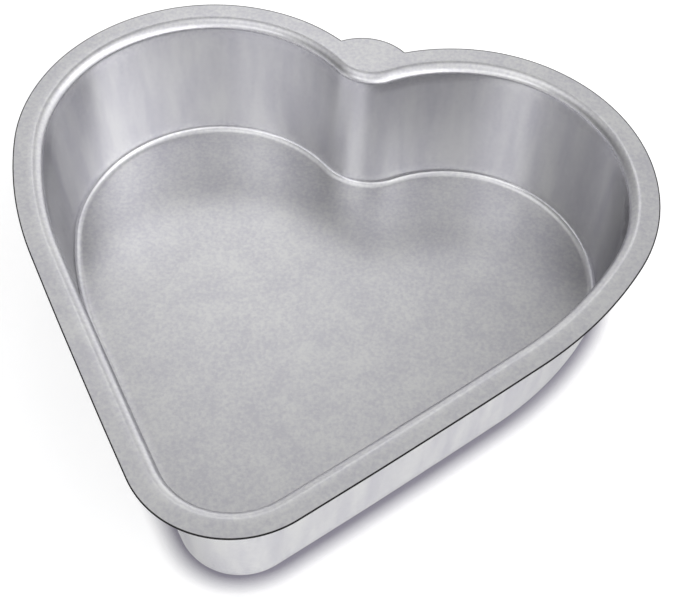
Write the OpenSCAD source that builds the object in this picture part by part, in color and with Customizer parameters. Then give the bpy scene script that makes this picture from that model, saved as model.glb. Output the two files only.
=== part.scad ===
// Heart-shaped cake pan, drawn from one sheet of tinned steel.
// Millimetres, +Z up. The pan stands on Z = 0, its tip points to -Y, and the origin lies under
// the middle of the rim.

/* [Pan] */
// Width over the rim, lobe to lobe
rim_w = 210; // [200:1:220]
// Length over the rim, from the tops of the lobes to the tip
rim_l = 201.5; // [190:0.5:215]
// Height from the table to the top of the rim
pan_h = 50; // [30:1:80]
// Thickness of the sheet
sheet_t = 0.5; // [0.4:0.1:1.2]
// Lean of the wall, outward to the rim, in degrees
draft = 4.5; // [1:0.25:8]

/* [Rim and bends] */
// Flat width of the rim, from its cut edge to the bend
rim_flat = 5.75; // [3:0.25:8]
// Radius under the bend between rim and wall
bend_r = 3.2; // [2:0.1:6]
// Radius inside the bend between wall and floor
floor_r = 2.8; // [2:0.1:8]

/* [Heart outline at the cut edge] */
// Radius of each lobe
lobe_r = 62.5; // [58:0.5:65]
// Radius of the shoulder, from a lobe down to the long side
shoulder_r = 132; // [110:1:160]
// Radius of the long side, which is almost straight
side_r = 3250; // [1000:50:6000]
// Radius of the tip
tip_r = 32; // [26:0.5:40]
// Radius of the cleft between the lobes
cleft_r = 6.2; // [3:0.1:10]
// Turn below the widest point where a lobe passes into the shoulder, in degrees
shoulder_turn = 17.5; // [10:0.5:25]

/* [Tab in the cleft] */
// Radius of the tab's edge
tab_r = 18.3; // [14:0.1:24]
// Reach of the tab beyond the bottom of the cleft
tab_out = 10.2; // [7:0.1:13]

/* [Hidden] */
$fa = 2;
$fs = 0.5;

// Steps of turn in a drawn arc
bend_step = 8;
plan_step = 8;
// Length by which a swept arc runs past each of its ends, so that it overlaps the next a hair
hair = 1e-6;
// Parts of a millimetre and of a degree to which lengths and turns are written
fine_mm = 1e5;
fine_deg = 1e3;

// Section of the sheet. A point's first number is its inset from the rim's cut edge.
bend_top_r = bend_r + sheet_t;
floor_low_r = floor_r + sheet_t;
// Inset and height of the centre of each bend
bend_at = [rim_flat, pan_h - bend_top_r];
wall_gap = bend_top_r + floor_r;
wall_drop = pan_h - bend_top_r - floor_low_r;
floor_at = [rim_flat + (wall_gap + wall_drop * sin(draft)) / cos(draft), floor_low_r];
// Flat strip of floor that is swept with the wall, and laps the floor's plate
floor_lap = 3;
section_end = floor_at[0] + floor_lap;

// A turn rounded so that the arcs on both sides of a joint take the same one
function fine_turn(a) = round(a * fine_deg) / fine_deg;
function dir(a) = [cos(a), sin(a)];

// Heart outline, right half. Angles run counter-clockwise from +X. Each pair of neighbouring arcs
// shares the line through both centres. The turns come first, rounded, and then the long side's
// and the cleft's true radii and all centres follow from them, so every joint is smooth and tight.
shoulder_a = -shoulder_turn;
lobe_c = [rim_w / 2 - lobe_r, 0];
shoulder_c = lobe_c - (shoulder_r - lobe_r) * dir(shoulder_a);
tip_y = lobe_r - rim_l + tip_r;

// Centre of the long side, at its radius less each neighbour's from their two centres
span = [0, tip_y] - shoulder_c;
reach = norm(span);
reach_a = atan2(span[1], span[0]);
to_shoulder = side_r - shoulder_r;
to_tip = side_r - tip_r;
corner_a = acos((to_shoulder ^ 2 + reach ^ 2 - to_tip ^ 2) / (2 * to_shoulder * reach));
side_mid = shoulder_c + to_shoulder * dir(reach_a - corner_a);
side_v = shoulder_c - side_mid;
tip_v = [0, tip_y] - side_mid;
side_a = fine_turn(atan2(side_v[1], side_v[0]));
tip_a = fine_turn(atan2(tip_v[1], tip_v[0]));
cleft_a = fine_turn(acos(-lobe_c[0] / (lobe_r + cleft_r)));

long_r = (shoulder_c[0] + shoulder_r * cos(side_a) - tip_r * cos(tip_a)) / (cos(side_a) - cos(tip_a));
long_c = shoulder_c - (long_r - shoulder_r) * dir(side_a);
tip_c = [0, long_c[1] + (long_r - tip_r) * sin(tip_a)];
notch_r = -lobe_c[0] / cos(cleft_a) - lobe_r;
notch_c = [0, (lobe_r + notch_r) * sin(cleft_a)];

// Middle of the rim, which comes to stand over the origin
mid_y = (lobe_r + tip_c[1] - tip_r) / 2;

// Tab
tab_lap = rim_flat / 4;
tab_c = [0, notch_c[1] - notch_r + tab_out - tab_r];

// Moves its children by v in a coarse, a fine and a last step, which together carry v in full
module place(v) {
    coarse = [for (x = v) round(x)];
    fine = [for (x = v - coarse) round(x * fine_mm) / fine_mm];
    translate(coarse) translate(fine) translate(v - coarse - fine) children();
}

// Points of an arc in the section or the plan
function arc(c, r, a0, a1, step) =
    let (n = ceil(abs(a1 - a0) / step))
    [for (i = [0:n]) c + r * dir(a0 + (a1 - a0) * i / n)];

// The sheet cut across, from the cut edge along its top to the floor and back along its underside
function section() = concat(
    [[0, pan_h]],
    arc(bend_at, bend_top_r, 90, draft, bend_step),
    arc(floor_at, floor_r, 180 + draft, 270, bend_step),
    [[section_end, sheet_t], [section_end, 0]],
    arc(floor_at, floor_low_r, 270, 180 + draft, bend_step),
    arc(bend_at, bend_r, draft, 90, bend_step),
    [[0, pan_h - sheet_t]]
);

// Sweeps the section from turn a0 to a1 round centre c. The rim's edge runs at radius r, and the
// heart lies inside the arc, or outside it where hollow is true.
module sweep(c, r, a0, a1, hollow = false) {
    inward = hollow ? 1 : -1;
    over_a = hair / r * 180 / PI;
    place([c[0], c[1], 0])
        rotate_extrude(start = a0 - over_a, angle = a1 - a0 + 2 * over_a)
            place([r, 0])
                polygon([for (p = section()) [inward * p[0], p[1]]]);
}

// Shoulder, lobe and long side of one half
module half_ring() {
    sweep(long_c, long_r, tip_a, side_a);
    sweep(shoulder_c, shoulder_r, side_a, shoulder_a);
    sweep(lobe_c, lobe_r, shoulder_a, cleft_a);
}

module ring() {
    sweep(tip_c, tip_r, -180 - tip_a, tip_a);
    half_ring();
    mirror([1, 0, 0]) half_ring();
    sweep(notch_c, notch_r, -cleft_a, cleft_a - 180, hollow = true);
}

// Points of the right half of the outline, moved in by an inset, from the tip to the cleft
function half_outline(inset) = concat(
    arc(tip_c, tip_r - inset, -90, tip_a, plan_step),
    arc(long_c, long_r - inset, tip_a, side_a, plan_step),
    arc(shoulder_c, shoulder_r - inset, side_a, shoulder_a, plan_step),
    arc(lobe_c, lobe_r - inset, shoulder_a, cleft_a, plan_step),
    arc(notch_c, notch_r + inset, cleft_a - 180, -90, plan_step)
);

// Flat plate of the floor, which ends halfway across the swept strip
module floor_plate() {
    right = half_outline(section_end - floor_lap / 2);
    left = [for (i = [len(right) - 2:-1:1]) [-right[i][0], right[i][1]]];
    linear_extrude(sheet_t) polygon(concat(right, left));
}

// Area of the heart between the lobes' centres and the cleft
module web() {
    difference() {
        polygon([-lobe_c, notch_c, lobe_c, tip_c]);
        translate(notch_c) circle(notch_r + 2 * tab_lap);
    }
}

// Rounded tab in the cleft, level with the rim and lapped under it by part of the flat
module tab() {
    place([0, 0, pan_h - sheet_t])
        linear_extrude(sheet_t)
            difference() {
                translate(tab_c) circle(tab_r);
                for (side = [-1, 1]) translate(side * lobe_c) circle(lobe_r - tab_lap);
                web();
            }
}

module pan() {
    color("silver")
        place([0, -mid_y, 0]) {
            ring();
            floor_plate();
            tab();
        }
}

pan();
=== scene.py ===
import math
from collections import namedtuple

import bmesh
import bpy
from bpy.props import FloatProperty, FloatVectorProperty, IntProperty, PointerProperty
from mathutils import Matrix, Vector, noise


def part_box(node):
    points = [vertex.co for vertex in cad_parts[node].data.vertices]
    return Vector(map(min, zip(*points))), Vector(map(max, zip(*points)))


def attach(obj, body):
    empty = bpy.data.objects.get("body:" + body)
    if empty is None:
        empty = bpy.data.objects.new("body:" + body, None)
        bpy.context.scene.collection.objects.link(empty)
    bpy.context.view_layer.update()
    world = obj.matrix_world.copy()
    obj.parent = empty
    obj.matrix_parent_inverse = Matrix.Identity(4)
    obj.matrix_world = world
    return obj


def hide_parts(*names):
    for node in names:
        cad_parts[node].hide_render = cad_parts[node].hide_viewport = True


bl_info = {
    "name": "Heart Cake Pan",
    "version": (1, 0, 0),
    "blender": (4, 5, 0),
    "location": "3D View > Sidebar > Heart Pan",
    "description": "Builds a heart-shaped cake pan, pressed from one tinned sheet, and its studio",
    "category": "Add Mesh",
}

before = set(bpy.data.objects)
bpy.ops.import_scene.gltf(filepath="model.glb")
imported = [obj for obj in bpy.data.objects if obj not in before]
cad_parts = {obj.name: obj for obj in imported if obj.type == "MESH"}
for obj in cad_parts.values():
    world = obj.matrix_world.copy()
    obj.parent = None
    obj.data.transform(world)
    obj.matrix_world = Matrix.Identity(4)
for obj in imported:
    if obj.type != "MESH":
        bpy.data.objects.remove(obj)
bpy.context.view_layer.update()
PAN_LOW, PAN_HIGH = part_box("pan")
MM = 0.001


# Sizes and colours

class PanShape(bpy.types.PropertyGroup):
    """Sizes of the pressed sheet."""

    rim_width: FloatProperty(
        name="Rim Width", description="Width over the rim, lobe to lobe",
        default=PAN_HIGH.x - PAN_LOW.x, unit="LENGTH")
    rim_length: FloatProperty(
        name="Rim Length", description="Length over the rim, from the tops of the lobes to the tip",
        default=PAN_HIGH.y - PAN_LOW.y, unit="LENGTH")
    height: FloatProperty(
        name="Height", description="Height from the table to the top of the rim",
        default=PAN_HIGH.z - PAN_LOW.z, unit="LENGTH")
    sheet: FloatProperty(
        name="Sheet", description="Thickness of the sheet", default=0.5 * MM, unit="LENGTH")
    draft: FloatProperty(
        name="Draft", description="Lean of the wall, outward to the rim",
        default=math.radians(4.5), subtype="ANGLE")
    rim_flat: FloatProperty(
        name="Rim Flat", description="Flat width of the rim, from its cut edge to the bend",
        default=5.75 * MM, unit="LENGTH")
    bend_radius: FloatProperty(
        name="Bend Radius", description="Radius under the bend between rim and wall",
        default=3.2 * MM, unit="LENGTH")
    floor_radius: FloatProperty(
        name="Floor Radius", description="Radius inside the bend between wall and floor",
        default=2.8 * MM, unit="LENGTH")
    edge_radius: FloatProperty(
        name="Edge Radius", description="Rounding of the cut edge left by the shears",
        default=0.12 * MM, unit="LENGTH")
    lobe_radius: FloatProperty(
        name="Lobe Radius", description="Radius of each lobe at the cut edge",
        default=62.5 * MM, unit="LENGTH")
    shoulder_radius: FloatProperty(
        name="Shoulder Radius", description="Radius from a lobe down to the long side",
        default=132 * MM, unit="LENGTH")
    side_radius: FloatProperty(
        name="Side Radius", description="Radius of the long side, which is almost straight",
        default=3250 * MM, unit="LENGTH")
    tip_radius: FloatProperty(
        name="Tip Radius", description="Radius of the tip at the cut edge",
        default=32 * MM, unit="LENGTH")
    cleft_radius: FloatProperty(
        name="Cleft Radius", description="Radius of the cleft between the lobes",
        default=6.2 * MM, unit="LENGTH")
    shoulder_turn: FloatProperty(
        name="Shoulder Turn", description="Turn below the widest point where a lobe ends",
        default=math.radians(17.5), subtype="ANGLE")
    tab_radius: FloatProperty(
        name="Tab Radius", description="Radius of the tab's edge",
        default=18.3 * MM, unit="LENGTH")
    tab_reach: FloatProperty(
        name="Tab Reach", description="Reach of the tab beyond the bottom of the cleft",
        default=10.2 * MM, unit="LENGTH")
    unevenness: FloatProperty(
        name="Unevenness", description="How far the sheet strays from its true form",
        default=0.1 * MM, unit="LENGTH")
    uneven_span: FloatProperty(
        name="Uneven Span", description="Distance from one soft swelling of the sheet to the next",
        default=32 * MM, unit="LENGTH")
    plan_step: FloatProperty(
        name="Plan Step", description="Length of a face along the rim",
        default=1.6 * MM, unit="LENGTH")
    bend_steps: IntProperty(
        name="Bend Steps", description="Faces across each bend of the sheet", default=12)
    floor_step: FloatProperty(
        name="Floor Step", description="Width of a face on the floor", default=9 * MM, unit="LENGTH")


class TinFinish(bpy.types.PropertyGroup):
    """Colours and grain of the tinned steel."""

    bright: FloatVectorProperty(
        name="Bright Tin", description="Colour of the tin where it is brightest",
        default=(0.775, 0.775, 0.78), subtype="COLOR")
    dull: FloatVectorProperty(
        name="Dull Tin", description="Colour of the tin where it is dullest",
        default=(0.65, 0.645, 0.685), subtype="COLOR")
    # Near-black colour painted on a narrow band of the rim beside the cut edge, which draws a dark line
    # along it
    dark_edge_colour: FloatVectorProperty(
        name="Cut Steel", description="Colour of the bare steel along the cut edge",
        default=(0.03, 0.028, 0.03), subtype="COLOR")
    edge_band: FloatProperty(
        name="Edge Band", description="Width of the bare steel on the rim's face",
        default=0.31 * MM, unit="LENGTH")
    roughness: FloatProperty(
        name="Roughness", description="Roughness of the floor and the rim", default=0.36)
    drawn_roughness: FloatProperty(
        name="Drawn Roughness", description="Roughness of the wall and bends, burnished by the die",
        default=0.24)
    smear: FloatProperty(
        name="Smear", description="How far the wall spreads a mirrored light up and down", default=0.9)
    grain: FloatProperty(
        name="Grain", description="Size of a grain of the tin", default=1.2 * MM, unit="LENGTH")
    cloud: FloatProperty(
        name="Cloud", description="Size of a cloud in the tin", default=14 * MM, unit="LENGTH")
    relief: FloatProperty(
        name="Relief", description="Depth of the bumps in the grain", default=0.05 * MM, unit="LENGTH")
    relief_strength: FloatProperty(
        name="Relief Strength", description="Share of the bumps' depth that shows", default=0.25)
    streak: FloatProperty(
        name="Streak", description="Width of a draw mark on the wall", default=6 * MM, unit="LENGTH")
    streak_share: FloatProperty(
        name="Streak Share", description="Share of the wall's mottle that draw marks take the place of",
        default=0.6)
    grazing: FloatVectorProperty(
        name="Grazing Tint", description="Share of the light that the tin keeps at a grazing view",
        default=(0.6, 0.6, 0.6), subtype="COLOR")


class Studio(bpy.types.PropertyGroup):
    """Light and floor round the pan."""

    floor_colour: FloatVectorProperty(
        name="Floor Colour", description="Colour of the floor", default=(0.8, 0.8, 0.8), subtype="COLOR")
    floor_width: FloatProperty(
        name="Floor Width", description="Width of the floor", default=4.0, unit="LENGTH")
    floor_roughness: FloatProperty(
        name="Floor Roughness", description="Roughness of the floor", default=0.9)
    whitening: FloatProperty(
        name="Whitening", description="Glow that lifts the floor to white for the camera", default=0.46)
    table_glow: FloatProperty(
        name="Table Glow", description="Glow of the floor where the pan mirrors it", default=0.37)
    # Reach of the painted shadow at the pan's foot
    contact_reach: FloatProperty(
        name="Contact Reach", description="How far the shadow at the pan's foot reaches",
        default=8 * MM, unit="LENGTH")
    # Colour of the painted shadow that darkens the floor's paint and glow in the corner at the pan's foot
    painted_shadow_colour: FloatVectorProperty(
        name="Contact Colour", description="Colour of the floor in the corner at the pan's foot",
        default=(0.22, 0.21, 0.25), subtype="COLOR")
    sky: FloatProperty(
        name="Sky", description="Brightness of the light from all round", default=0.12)


class PhotoCamera(bpy.types.PropertyGroup):
    """Place and lens of the camera."""

    lens: FloatProperty(
        name="Lens", description="Focal length in millimetres on a 36 mm wide sensor", default=72.78)
    azimuth: FloatProperty(
        name="Azimuth", description="Turn of the camera round the pan, from the tip to the right",
        default=math.radians(13.9102), subtype="ANGLE")
    elevation: FloatProperty(
        name="Elevation", description="Angle above the table",
        default=math.radians(53.2871), subtype="ANGLE")
    roll: FloatProperty(
        name="Roll", description="Turn of the picture", default=math.radians(0.9278), subtype="ANGLE")
    distance: FloatProperty(
        name="Distance", description="Distance to the point looked at", default=470.677 * MM, unit="LENGTH")
    target: FloatVectorProperty(
        name="Target", description="Point looked at",
        default=(7.345 * MM, 20.408 * MM, 0), subtype="TRANSLATION")


# Plan of the heart

def heading(turn):
    """Unit vector in the plan at a turn from +X."""
    return Vector((math.cos(turn), math.sin(turn)))


def turn_of(vector):
    """Turn of a plan vector from +X."""
    return math.atan2(vector.y, vector.x)


def corner_turn(near, far, opposite):
    """Angle of a triangle between sides near and far, across from side opposite."""
    return math.acos((near ** 2 + far ** 2 - opposite ** 2) / (2 * near * far))


class HeartPlan:
    """Arcs of the cut edge's right half, from the tip to the cleft, in the pan's frame."""

    def __init__(self, shape):
        quarter = math.pi / 2
        lobe = Vector((shape.rim_width / 2 - shape.lobe_radius, 0))
        lobe_end = -shape.shoulder_turn
        shoulder = lobe - (shape.shoulder_radius - shape.lobe_radius) * heading(lobe_end)
        tip = Vector((0, shape.lobe_radius - shape.rim_length + shape.tip_radius))

        to_shoulder = shape.side_radius - shape.shoulder_radius
        to_tip = shape.side_radius - shape.tip_radius
        span = tip - shoulder
        side = shoulder + to_shoulder * heading(
            turn_of(span) - corner_turn(to_shoulder, span.length, to_tip))
        side_end = turn_of(shoulder - side)
        tip_end = turn_of(tip - side)

        to_cleft = shape.lobe_radius + shape.cleft_radius
        cleft_turn = math.acos(-lobe.x / to_cleft)
        cleft = Vector((0, to_cleft * math.sin(cleft_turn)))
        tab = cleft + Vector((0, shape.tab_reach - shape.cleft_radius - shape.tab_radius))
        tab_turn = turn_of(tab - lobe) - corner_turn(
            shape.lobe_radius, (tab - lobe).length, shape.tab_radius)

        middle = Vector((0, (shape.lobe_radius + tip.y - shape.tip_radius) / 2))
        self.tab = tab - middle
        self.tab_corner = lobe + shape.lobe_radius * heading(tab_turn) - middle
        self.start = tip - middle - Vector((0, shape.tip_radius))
        self.arcs = [
            (tip - middle, shape.tip_radius, -quarter, tip_end),
            (side - middle, shape.side_radius, tip_end, side_end),
            (shoulder - middle, shape.shoulder_radius, side_end, lobe_end),
            (lobe - middle, shape.lobe_radius, lobe_end, tab_turn),
            (lobe - middle, shape.lobe_radius, tab_turn, cleft_turn),
            (cleft - middle, shape.cleft_radius, cleft_turn - math.pi, -quarter),
        ]


# Sheet

# Point layer that holds each point's inset from the cut edge
EDGE_LAYER = "from_edge"
# Width over which the near-black edge band passes into the tin
BAND_FADE = 0.12 * MM
# Inset up to which the rim's edge is drawn out to the tab
TAB_HEM = 1 * MM
# Turn beside the tab's corner within which the edge stays on the lobe
CORNER_SLACK = math.radians(0.2)
# Flat strip of floor that is swept with the wall
FLOOR_LAP = 3 * MM
# Faces across that strip, up the wall, across the rim's flat and round each corner of the cut edge
LAP_FACES = 2
WALL_FACES = 12
FLAT_FACES = 3
EDGE_FACES = 3
# Fewest faces round an arc of the plan, and the faces round half of the cleft
ARC_FACES = 6
CLEFT_FACES = 26
# Seed of the noise that the sheet strays by, with which the sheet stays inside the CAD model's box.
# Blender takes the time as the seed where none is set, and each run then gives another sheet.
UNEVEN_SEED = 11
# Distance within which two points are one, and a cut goes through a point
SAME_POINT = 1e-6
SAME_CUT = 1e-7


def draw_to(bm, vert, inset, z, start_y, faces=1):
    """Draws the section on from vert in a straight line of so many faces and returns its new end."""
    step = (Vector((0, start_y + inset, z)) - vert.co) / faces
    for _ in range(faces):
        place = vert.co + step
        vert = bmesh.ops.extrude_vert_indiv(bm, verts=[vert])["verts"][0]
        vert.co = place
    return vert


def draw_bend(bm, vert, inset, z, start_y, turn, steps):
    """Draws the section on from vert round the centre at inset and z and returns its new end."""
    made = bmesh.ops.spin(
        bm, geom=[vert], cent=(0, start_y + inset, z), axis=(1, 0, 0), angle=turn, steps=steps)
    return next(item for item in made["geom_last"] if isinstance(item, bmesh.types.BMVert))


def draw_section(bm, shape, finish, start_y):
    """Draws the sheet cut across at the tip, from the floor's top over the rim to its underside."""
    quarter = math.pi / 2
    lean = shape.draft
    sweep = quarter - lean
    top, under = shape.height, shape.height - shape.sheet
    bend_outer = shape.bend_radius + shape.sheet
    floor_outer = shape.floor_radius + shape.sheet
    bend_in, bend_z = shape.rim_flat, shape.height - bend_outer
    wall_gap = bend_outer + shape.floor_radius
    wall_drop = bend_z - floor_outer
    floor_in = bend_in + (wall_gap + wall_drop * math.sin(lean)) / math.cos(lean)
    floor_z = floor_outer
    out = heading(lean)
    wall_top = bend_in + bend_outer * out.x, bend_z + bend_outer * out.y
    wall_foot = floor_in - floor_outer * out.x, floor_z - floor_outer * out.y
    band = finish.edge_band
    rounding = shape.edge_radius

    end = bm.verts.new((0, start_y + floor_in + FLOOR_LAP, shape.sheet))
    end = draw_to(bm, end, floor_in, shape.sheet, start_y, LAP_FACES)
    end = draw_bend(bm, end, floor_in, floor_z, start_y, -sweep, shape.bend_steps)
    end = draw_to(bm, end, wall_top[0], wall_top[1], start_y, WALL_FACES)
    end = draw_bend(bm, end, bend_in, bend_z, start_y, sweep, shape.bend_steps)
    end = draw_to(bm, end, band + BAND_FADE, top, start_y, FLAT_FACES)
    end = draw_to(bm, end, band, top, start_y)
    end = draw_to(bm, end, rounding, top, start_y)
    end = draw_bend(bm, end, rounding, top - rounding, start_y, quarter, EDGE_FACES)
    end = draw_to(bm, end, 0, under + rounding, start_y)
    end = draw_bend(bm, end, rounding, under + rounding, start_y, quarter, EDGE_FACES)
    end = draw_to(bm, end, band, under, start_y)
    end = draw_to(bm, end, band + BAND_FADE, under, start_y)
    end = draw_to(bm, end, bend_in, under, start_y, FLAT_FACES)
    end = draw_bend(bm, end, bend_in, bend_z, start_y, -sweep, shape.bend_steps)
    end = draw_to(bm, end, wall_foot[0], wall_foot[1], start_y, WALL_FACES)
    end = draw_bend(bm, end, floor_in, floor_z, start_y, sweep, shape.bend_steps)
    draw_to(bm, end, floor_in + FLOOR_LAP, 0, start_y, LAP_FACES)

    layer = bm.verts.layers.float.new(EDGE_LAYER)
    for vert in bm.verts:
        vert[layer] = vert.co.y - start_y
    return layer


def sweep_half(bm, shape, plan):
    """Sweeps the section round the right half of the heart, one arc after another."""
    line = bm.verts[:] + bm.edges[:]
    for number, (centre, radius, start, stop) in enumerate(plan.arcs):
        steps = max(ARC_FACES, round(abs(stop - start) * radius / shape.plan_step))
        if number == len(plan.arcs) - 1:
            steps = CLEFT_FACES
        made = bmesh.ops.spin(
            bm, geom=line, cent=(centre.x, centre.y, 0), axis=(0, 0, 1),
            angle=stop - start, steps=steps)
        line = made["geom_last"]
    for item in line:
        if isinstance(item, bmesh.types.BMVert):
            item.co.x = 0


def pull_out_tab(bm, shape, plan, layer):
    """Draws the rim's edge out to the tab between the tab's corner and the cleft."""
    corner = abs(turn_of(plan.tab_corner - plan.tab) - math.pi / 2)
    for vert in bm.verts:
        if vert[layer] > TAB_HEM:
            continue
        spoke = vert.co.xy - plan.tab
        if spoke.y > 0 and abs(turn_of(spoke) - math.pi / 2) < corner - CORNER_SLACK:
            vert.co.xy = plan.tab + (shape.tab_radius - vert[layer]) * spoke.normalized()


def fill_floor(bm, shape):
    """Closes the floor above and below, and cuts it into a grid."""
    rims = [edge for edge in bm.edges if edge.is_boundary]
    for upper in (True, False):
        loop = [e for e in rims if (e.verts[0].co.z > shape.sheet / 2) == upper]
        face = bmesh.ops.contextual_create(bm, geom=loop)["faces"][0]
        low = Vector(map(min, *(v.co for v in face.verts)))
        high = Vector(map(max, *(v.co for v in face.verts)))
        geom = [face] + face.edges[:] + face.verts[:]
        for axis in (0, 1):
            count = round((high[axis] - low[axis]) / shape.floor_step)
            normal = Vector((axis == 0, axis == 1, 0))
            for number in range(1, count):
                point = low + (high - low) * number / count
                geom = bmesh.ops.bisect_plane(
                    bm, geom=geom, dist=SAME_CUT, plane_co=point, plane_no=normal)["geom"]


def unsettle(bm, shape):
    """Lets the sheet stray a little from its true form, alike on both faces."""
    noise.seed_set(UNEVEN_SEED)
    for vert in bm.verts:
        drift = noise.noise_vector(vert.co / shape.uneven_span)
        lift = abs(drift.z) if vert.co.z < shape.sheet * 2 else -abs(drift.z)
        vert.co += shape.unevenness * Vector((drift.x, drift.y, lift))


def tidy_mesh(bm):
    """Merges doubles, turns the faces outward and shades them smooth."""
    bmesh.ops.remove_doubles(bm, verts=bm.verts, dist=SAME_POINT)
    bmesh.ops.recalc_face_normals(bm, faces=bm.faces)
    for face in bm.faces:
        face.smooth = True
    open_edges = [edge for edge in bm.edges if not edge.is_manifold]
    if open_edges:
        raise RuntimeError(f"the sheet has {len(open_edges)} open edges")


# Finish of the sheet

# Heights over the table between which the bends and the wall alone begin
FORMED_FOOT = (0.5 * MM, 2 * MM)
DRAWN_FOOT = (3 * MM, 6 * MM)
# Depths below the rim's top between which they end
FORMED_RIM = (3.5 * MM, 0.2 * MM)
DRAWN_RIM = (8 * MM, 4 * MM)
# Share of the fine grain in the mottle, beside the clouds
GRAIN_SHARE = 0.6
# Levels of the marks at which the tin is dullest and brightest
MARK_LEVELS = (0.38, 0.62)
# Scale of the pattern's height on the wall, which draws its marks out upright
UPRIGHT = 0.12
NOISE_DETAIL = 3


class Shader:
    """Adds nodes to a new material's tree, or to the tree given, and joins them."""

    def __init__(self, name=None, tree=None):
        self.tree = tree
        if tree is None:
            self.material = bpy.data.materials.new(name)
            self.material.use_nodes = True
            self.tree = self.material.node_tree
            self.surface = self.tree.nodes["Principled BSDF"]

    def add(self, kind, settings=None, **inputs):
        """New node, with settings on the node itself and values or links on its inputs."""
        node = self.tree.nodes.new("ShaderNode" + kind)
        for key, value in (settings or {}).items():
            setattr(node, key, value)
        for key, value in inputs.items():
            self.join(value, node.inputs[key.replace("_", " ")])
        return node

    def join(self, value, socket):
        """Links value to the socket if it is a socket too, and otherwise sets it."""
        if isinstance(value, bpy.types.NodeSocket):
            self.tree.links.new(value, socket)
        else:
            socket.default_value = value

    def math(self, operation, first, second):
        node = self.tree.nodes.new("ShaderNodeMath")
        node.operation = operation
        self.join(first, node.inputs[0])
        self.join(second, node.inputs[1])
        return node.outputs[0]

    def dot(self, first, second):
        node = self.tree.nodes.new("ShaderNodeVectorMath")
        node.operation = "DOT_PRODUCT"
        self.join(first, node.inputs[0])
        self.join(second, node.inputs[1])
        return node.outputs["Value"]

    def mix(self, factor, first, second, blend="MIX"):
        node = self.tree.nodes.new("ShaderNodeMix")
        node.data_type = "RGBA"
        node.blend_type = blend
        self.join(factor, node.inputs["Factor"])
        self.join(first, node.inputs["A"])
        self.join(second, node.inputs["B"])
        return node.outputs["Result"]

    def between(self, value, low, rise, fall, high):
        """1 from rise to fall, fading softly to 0 at low and high."""
        soft = {"interpolation_type": "SMOOTHSTEP"}
        up = self.add("MapRange", soft, Value=value, From_Min=low, From_Max=rise)
        down = self.add("MapRange", soft, Value=value, From_Min=fall, From_Max=high)
        return self.math("SUBTRACT", up.outputs[0], down.outputs[0])

    def noise(self, place, size):
        return self.add("TexNoise", Vector=place, Scale=1 / size, Detail=NOISE_DETAIL).outputs[0]


def tin_mottle(shader, place, finish):
    """Fine grain and soft clouds."""
    grain = shader.noise(place, finish.grain)
    cloud = shader.noise(place, finish.cloud)
    return shader.math(
        "ADD", shader.math("MULTIPLY", grain, GRAIN_SHARE), shader.math("MULTIPLY", cloud, 1 - GRAIN_SHARE))


def tin_colour(shader, place, finish, mottle, drawn):
    """Mottled tin with draw marks on the wall, and a near-black line painted beside the cut edge."""
    tall = shader.add("Mapping", Vector=place, Scale=(1, 1, UPRIGHT)).outputs[0]
    streak = shader.noise(tall, finish.streak)
    streaked = shader.math("MULTIPLY", drawn, finish.streak_share)
    marks = shader.add("Mix", Factor=streaked, A=mottle, B=streak).outputs[0]
    dullest, brightest = MARK_LEVELS
    tone = shader.add("MapRange", Value=marks, From_Min=dullest, From_Max=brightest).outputs[0]
    tin = shader.mix(tone, (*finish.dull, 1), (*finish.bright, 1))

    from_edge = shader.add("Attribute", {"attribute_name": EDGE_LAYER}).outputs["Fac"]
    band = finish.edge_band
    # Near-black band painted over the rim's face within edge_band of the cut edge, fading into the tin
    darkened = shader.add(
        "MapRange", Value=from_edge, From_Min=band, From_Max=band + BAND_FADE, To_Min=1.0, To_Max=0.0)
    return shader.mix(darkened.outputs[0], tin, (*finish.dark_edge_colour, 1))


def tinned_sheet(shape, finish):
    """Satin tin over steel: mottled flats, burnished bends, streaked walls and a near-black line painted at
    the cut.
    """
    shader = Shader("tinned_sheet")
    surface = shader.surface.inputs
    place = shader.add("TexCoord").outputs["Object"]
    height = shader.add("SeparateXYZ", Vector=place).outputs["Z"]
    formed = shader.between(height, *FORMED_FOOT, *(shape.height - depth for depth in FORMED_RIM))
    drawn = shader.between(height, *DRAWN_FOOT, *(shape.height - depth for depth in DRAWN_RIM))
    mottle = tin_mottle(shader, place, finish)
    shader.join(tin_colour(shader, place, finish, mottle, drawn), surface["Base Color"])

    rough = shader.add(
        "MapRange", Value=formed, To_Min=finish.roughness, To_Max=finish.drawn_roughness)
    shader.join(rough.outputs[0], surface["Roughness"])
    surface["Metallic"].default_value = 1.0
    surface["Specular Tint"].default_value = (*finish.grazing, 1)

    shader.join(shader.math("MULTIPLY", drawn, finish.smear), surface["Anisotropic"])
    upward = shader.add("CombineXYZ", Z=1.0)
    shader.join(upward.outputs[0], surface["Tangent"])

    flat = shader.math("SUBTRACT", 1.0, formed)
    bump = shader.add(
        "Bump", Strength=shader.math("MULTIPLY", flat, finish.relief_strength),
        Distance=finish.relief, Height=mottle)
    shader.join(bump.outputs[0], surface["Normal"])
    return shader.material


# Operators

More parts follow.
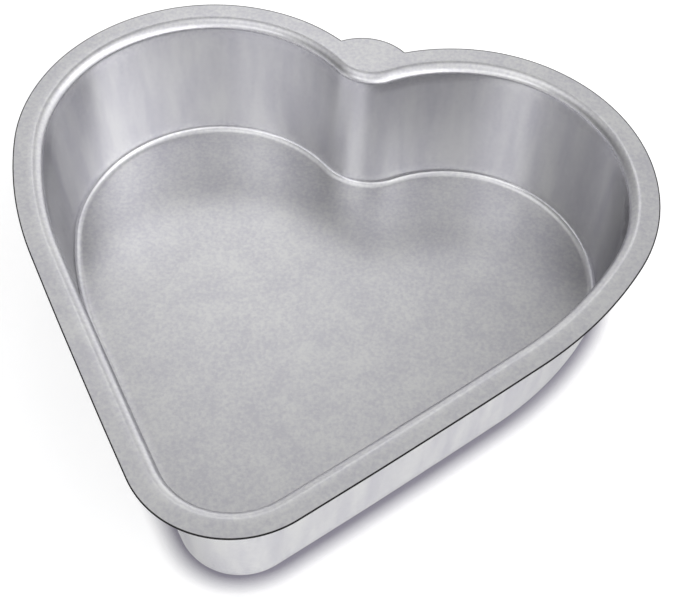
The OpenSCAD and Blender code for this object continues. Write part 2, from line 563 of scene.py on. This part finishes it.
class HEARTPAN_OT_press_sheet(bpy.types.Operator):
    """Press the pan from one tinned sheet"""

    bl_idname = "heart_pan.press_sheet"
    bl_label = "Press Sheet"

    def execute(self, context):
        shape = context.scene.heart_pan_shape
        finish = context.scene.heart_pan_finish
        plan = HeartPlan(shape)
        bm = bmesh.new()
        layer = draw_section(bm, shape, finish, plan.start.y)
        sweep_half(bm, shape, plan)
        pull_out_tab(bm, shape, plan, layer)
        half = bm.verts[:] + bm.edges[:] + bm.faces[:]
        bmesh.ops.mirror(bm, geom=half, axis="X", merge_dist=SAME_POINT)
        bmesh.ops.remove_doubles(bm, verts=bm.verts, dist=SAME_POINT)
        fill_floor(bm, shape)
        unsettle(bm, shape)
        tidy_mesh(bm)

        mesh = bpy.data.meshes.new("pressed_pan")
        bm.to_mesh(mesh)
        bm.free()
        mesh.materials.append(tinned_sheet(shape, finish))
        pan = bpy.data.objects.new("pressed_pan", mesh)
        context.scene.collection.objects.link(pan)
        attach(pan, "root")
        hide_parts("pan")
        return {"FINISHED"}


class HEARTPAN_OT_set_stage(bpy.types.Operator):
    """Lay the floor and set the studio light"""

    bl_idname = "heart_pan.set_stage"
    bl_label = "Set Stage"

    def execute(self, context):
        studio = context.scene.heart_pan_studio
        context.scene.view_settings.view_transform = "Standard"
        lay_floor(context, studio)
        light_sky(context, studio)
        return {"FINISHED"}


class HEARTPAN_OT_place_camera(bpy.types.Operator):
    """Place the camera at the photograph's view"""

    bl_idname = "heart_pan.place_camera"
    bl_label = "Place Camera"

    def execute(self, context):
        view = context.scene.heart_pan_camera
        level = math.cos(view.elevation)
        back = Vector((
            math.sin(view.azimuth) * level, -math.cos(view.azimuth) * level, math.sin(view.elevation)))
        right = Vector((math.cos(view.azimuth), math.sin(view.azimuth), 0))
        up = back.cross(right)
        across = math.cos(view.roll) * right + math.sin(view.roll) * up
        turned = Matrix((across, back.cross(across), back)).transposed().to_4x4()
        data = bpy.data.cameras.new("camera")
        data.lens = view.lens
        camera = bpy.data.objects.new("camera", data)
        camera.matrix_world = Matrix.Translation(Vector(view.target) + view.distance * back) @ turned
        context.scene.collection.objects.link(camera)
        context.scene.camera = camera
        return {"FINISHED"}


# Stage

WHITE = (1, 1, 1, 1)
# Share of open sky below which the painted shadow at the pan's foot is full
CORNER_SKY = 0.5
# Rays that look for open sky at each point of the floor
CORNER_RAYS = 8
# Soft patch of the sky. Its turn from +X and its elevation are in degrees, and a sharper one is
# smaller.
Glow = namedtuple("Glow", "azimuth elevation sharpness brightness")
SKY_GLOWS = {
    "window behind the pan": Glow(85, 10, 1.9, 1.25),
    "ceiling on the right": Glow(10, 45, 5.5, 3.2),
    "dark corner on the right": Glow(-5, 65, 2.6, -2.6),
    "ceiling over the camera": Glow(-130, 75, 8, 2.3),
    "wall on the front right": Glow(-50, 15, 3.4, 2.3),
    "card in front": Glow(-105, 30, 32, 1.2),
    "low card on the front left": Glow(-140, 5, 23, 0.8),
    "lamp behind, mirrored by the floor": Glow(110, 50, 150, 2.45),
    "lamp on the front left, mirrored by the lobes": Glow(-120, 30, 300, 2.6),
}


def lay_floor(context, studio):
    """White floor that keeps the pan's shadow, with a painted shadow added at the pan's foot."""
    bm = bmesh.new()
    bmesh.ops.create_grid(bm, x_segments=2, y_segments=2, size=studio.floor_width / 2)
    mesh = bpy.data.meshes.new("floor")
    bm.to_mesh(mesh)
    bm.free()
    floor = bpy.data.objects.new("floor", mesh)
    context.scene.collection.objects.link(floor)
    mesh.materials.append(floor_paint(studio))


def floor_paint(studio):
    """White paint that glows for the camera and in the pan, with a painted shadow in the corner at the
    pan's foot.
    """
    shader = Shader("floor")
    surface = shader.surface.inputs
    # Painted shadow: where the pan hides the sky near its foot, the floor's colour and glow darken towards
    # the shadow colour, for camera rays only
    corner = shader.add("AmbientOcclusion", {"samples": CORNER_RAYS}, Distance=studio.contact_reach)
    open_sky = corner.outputs["AO"]
    shade = shader.add("MapRange", Value=open_sky, From_Min=CORNER_SKY, From_Max=1.0).outputs[0]
    path = shader.add("LightPath").outputs
    unseen = shader.math("SUBTRACT", 1.0, path["Is Camera Ray"])
    tone = shader.mix(shader.math("MAXIMUM", shade, unseen), (*studio.painted_shadow_colour, 1), WHITE)
    shader.join(shader.mix(1.0, tone, (*studio.floor_colour, 1), "MULTIPLY"), surface["Base Color"])

    whitened = shader.math("MULTIPLY", path["Is Camera Ray"], studio.whitening)
    mirrored = shader.math("ADD", path["Is Glossy Ray"], path["Is Transmission Ray"])
    glow = shader.math("ADD", whitened, shader.math("MULTIPLY", mirrored, studio.table_glow))
    shader.join(tone, surface["Emission Color"])
    shader.join(glow, surface["Emission Strength"])
    surface["Roughness"].default_value = studio.floor_roughness
    surface["Specular IOR Level"].default_value = 0.0
    return shader.material


def light_sky(context, studio):
    """Soft light from all round with its glows and dark corner, and a white background."""
    world = bpy.data.worlds.new("studio")
    world.use_nodes = True
    context.scene.world = world
    shader = Shader(tree=world.node_tree)
    direction = shader.add("TexCoord").outputs["Generated"]
    light = studio.sky
    for glow in SKY_GLOWS.values():
        elevation = math.radians(glow.elevation)
        centre = (*(math.cos(elevation) * heading(math.radians(glow.azimuth))), math.sin(elevation))
        away = shader.math("SUBTRACT", shader.dot(direction, centre), 1.0)
        falloff = shader.math("EXPONENT", shader.math("MULTIPLY", away, glow.sharpness), 0.0)
        light = shader.math("ADD", light, shader.math("MULTIPLY", falloff, glow.brightness))
    light = shader.math("MAXIMUM", light, 0.0)
    white = shader.mix(shader.add("LightPath").outputs["Is Camera Ray"], light, WHITE)
    shader.join(white, world.node_tree.nodes["Background"].inputs["Color"])


# Panel and registration

class HEARTPAN_PT_tools(bpy.types.Panel):
    """Sizes, colours and steps of the heart cake pan"""

    bl_label = "Heart Cake Pan"
    bl_idname = "HEARTPAN_PT_tools"
    bl_space_type = "VIEW_3D"
    bl_region_type = "UI"
    bl_category = "Heart Pan"

    def draw(self, context):
        for operator in OPERATORS:
            self.layout.operator(operator.bl_idname)
        for slot in GROUPS:
            box = self.layout.box()
            group = getattr(context.scene, slot)
            for name in group.bl_rna.properties.keys():
                if name not in ("rna_type", "name"):
                    box.prop(group, name)


GROUPS = {
    "heart_pan_shape": PanShape,
    "heart_pan_finish": TinFinish,
    "heart_pan_studio": Studio,
    "heart_pan_camera": PhotoCamera,
}
OPERATORS = (HEARTPAN_OT_place_camera, HEARTPAN_OT_press_sheet, HEARTPAN_OT_set_stage)
CLASSES = (*GROUPS.values(), *OPERATORS, HEARTPAN_PT_tools)


def register():
    for cls in CLASSES:
        bpy.utils.register_class(cls)
    for slot, group in GROUPS.items():
        setattr(bpy.types.Scene, slot, PointerProperty(type=group))


def unregister():
    for slot in GROUPS:
        delattr(bpy.types.Scene, slot)
    for cls in reversed(CLASSES):
        bpy.utils.unregister_class(cls)


def main():
    register()
    bpy.ops.heart_pan.place_camera()
    bpy.ops.heart_pan.press_sheet()
    bpy.ops.heart_pan.set_stage()


if __name__ == "__main__":
    main()
